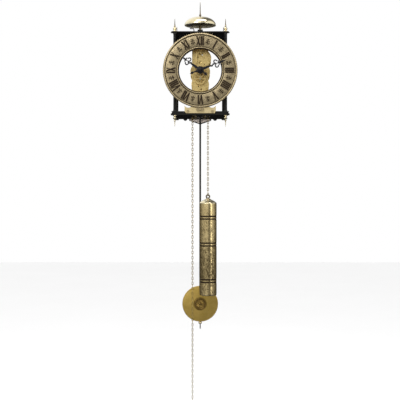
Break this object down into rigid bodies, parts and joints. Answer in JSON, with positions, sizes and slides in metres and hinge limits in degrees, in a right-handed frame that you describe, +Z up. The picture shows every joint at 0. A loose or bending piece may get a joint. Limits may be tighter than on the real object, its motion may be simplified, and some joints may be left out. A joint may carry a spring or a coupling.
{
  "type": "wall clock",
  "caption": "Weight-driven skeleton wall clock with an open chapter ring, bell on top, a chain-hung cylinder weight and a long pendulum.",
  "frame": {"origin": "centre of the hanging hole in the rear hanger bracket, on the wall plane", "axes": "+Z up, -Y out of the wall towards the viewer (the dial faces -Y), +X to the right as seen from the front"},
  "size_m": [0.141, 0.1514, 0.7999],
  "materials": {
    "black_frame": "black lacquered iron, semi-gloss",
    "polished_brass": "polished pale brass",
    "antique_silver": "cast relief with dark patina",
    "antique_brass": "antiqued brass with dark patina in the hollows",
    "dark_enamel": "dark brown wax fill",
    "yellow_brass": "lightly brushed brass",
    "steel": "ground steel",
    "black_hands": "blackened steel",
    "satin_gold": "satin spun brass",
    "cast_iron_core": "plain cast"
  },
  "bodies": {
    "frame": {"top_plate": "black_frame", "bottom_plate": "black_frame", "post_front_left": "black_frame", "post_front_right": "black_frame", "post_rear_left": "black_frame", "post_rear_right": "black_frame", "top_finials": "polished_brass", "bottom_finials": "polished_brass", "rear_post_nuts": "black_frame", "hanger_bracket": "black_frame", "frame_screws": "antique_brass", "wall_spacers": "black_frame", "rear_apron": "black_frame", "apron_ornament": "antique_silver", "chapter_ring": "antique_brass", "numerals": "dark_enamel", "dial_bracket": "polished_brass", "dial_screws": "antique_brass", "dial_top_tab": "black_frame", "bell": "polished_brass", "bell_post": "antique_brass", "bell_finial": "polished_brass", "movement_front_plate": "yellow_brass", "movement_back_plate": "yellow_brass", "movement_pillars": "yellow_brass", "pillar_nuts": "antique_brass", "motion_stud": "steel", "back_cock": "yellow_brass", "chain_wrap": "polished_brass"},
    "minute_hand_body": {"minute_hand": "black_hands", "hand_nut": "black_hands", "cannon_pinion": "yellow_brass"},
    "hour_hand_body": {"hour_hand": "black_hands", "hour_wheel": "yellow_brass"},
    "minute_wheel_body": {"minute_wheel": "yellow_brass"},
    "centre_arbor": {"centre_wheel": "yellow_brass"},
    "great_arbor": {"great_wheel": "yellow_brass", "click": "steel", "click_spring": "steel"},
    "intermediate_arbor": {"intermediate_wheel": "yellow_brass"},
    "third_arbor": {"third_wheel": "yellow_brass"},
    "escape_arbor": {"escape_wheel": "yellow_brass"},
    "anchor_arbor": {"pallet_anchor": "steel", "crutch": "steel"},
    "chain_sprocket": {"sprocket": "yellow_brass", "ratchet_wheel": "steel"},
    "hammer_arbor": {"hammer": "steel", "strike_lever": "yellow_brass"},
    "pendulum": {"suspension_spring": "steel", "pendulum_rod": "black_hands", "pendulum_bob": "satin_gold", "bob_medallion": "satin_gold", "rating_nut": "polished_brass"},
    "weight": {"weight_tube": "antique_brass", "weight_caps": "polished_brass", "weight_core": "cast_iron_core", "weight_hook": "antique_brass", "weight_chain": "polished_brass"},
    "free_run": {"free_chain": "polished_brass", "chain_end_ring": "polished_brass"}
  },
  "joints": [
    {"name": "minute_hand_turn", "type": "hinge", "parent": "frame", "child": "minute_hand_body", "pos_m": [0, -0.14, -0.064], "axis": [0, 1, 0], "continuous": true},
    {"name": "hour_hand_turn", "type": "hinge", "parent": "frame", "child": "hour_hand_body", "pos_m": [0, -0.135, -0.064], "axis": [0, 1, 0], "continuous": true},
    {"name": "minute_wheel_turn", "type": "hinge", "parent": "frame", "child": "minute_wheel_body", "pos_m": [0, -0.125, -0.0784], "axis": [0, 1, 0], "continuous": true},
    {"name": "centre_wheel_turn", "type": "hinge", "parent": "frame", "child": "centre_arbor", "pos_m": [0, -0.09, -0.064], "axis": [0, 1, 0], "continuous": true},
    {"name": "great_wheel_turn", "type": "hinge", "parent": "frame", "child": "great_arbor", "pos_m": [0, -0.09, -0.1043], "axis": [0, 1, 0], "continuous": true},
    {"name": "intermediate_wheel_turn", "type": "hinge", "parent": "frame", "child": "intermediate_arbor", "pos_m": [0, -0.09, -0.0815], "axis": [0, 1, 0], "continuous": true},
    {"name": "third_wheel_turn", "type": "hinge", "parent": "frame", "child": "third_arbor", "pos_m": [0, -0.09, -0.046], "axis": [0, 1, 0], "continuous": true},
    {"name": "escape_wheel_turn", "type": "hinge", "parent": "frame", "child": "escape_arbor", "pos_m": [0, -0.09, -0.029], "axis": [0, 1, 0], "continuous": true},
    {"name": "pendulum_swing", "type": "hinge", "parent": "frame", "child": "pendulum", "pos_m": [0, -0.044, -0.013], "axis": [0, 1, 0], "range_deg": [-4, 4]},
    {"name": "anchor_rock", "type": "hinge", "parent": "frame", "child": "anchor_arbor", "pos_m": [0, -0.06, -0.013], "axis": [0, 1, 0], "range_deg": [-4, 4]},
    {"name": "hammer_lift", "type": "hinge", "parent": "frame", "child": "hammer_arbor", "pos_m": [-0.006, -0.09, -0.006], "axis": [0, 1, 0], "range_deg": [0, 12]},
    {"name": "weight_travel", "type": "slide", "parent": "frame", "child": "weight", "axis": [0, 0, 1], "range_m": [-0.12, 0.08], "deforming": ["weight_chain"]},
    {"name": "free_chain_travel", "type": "slide", "parent": "frame", "child": "free_run", "axis": [0, 0, 1], "range_m": [-0.08, 0.12], "deforming": ["free_chain"]},
    {"name": "sprocket_turn", "type": "hinge", "parent": "frame", "child": "chain_sprocket", "pos_m": [0, -0.08, -0.1043], "axis": [0, 1, 0], "range_deg": [-306, 459]}
  ],
  "couplings": [
    {"joint": "minute_wheel_turn", "follows": "minute_hand_turn", "ratio": -0.33333},
    {"joint": "hour_hand_turn", "follows": "minute_hand_turn", "ratio": 0.083333},
    {"joint": "intermediate_wheel_turn", "follows": "centre_wheel_turn", "ratio": -0.2963},
    {"joint": "great_wheel_turn", "follows": "centre_wheel_turn", "ratio": 0.079012},
    {"joint": "third_wheel_turn", "follows": "centre_wheel_turn", "ratio": -8},
    {"joint": "escape_wheel_turn", "follows": "centre_wheel_turn", "ratio": 60},
    {"joint": "anchor_rock", "follows": "pendulum_swing", "ratio": 1},
    {"joint": "free_chain_travel", "follows": "weight_travel", "ratio": -1},
    {"joint": "sprocket_turn", "follows": "weight_travel", "rad_per_m": -66.667}
  ]
}
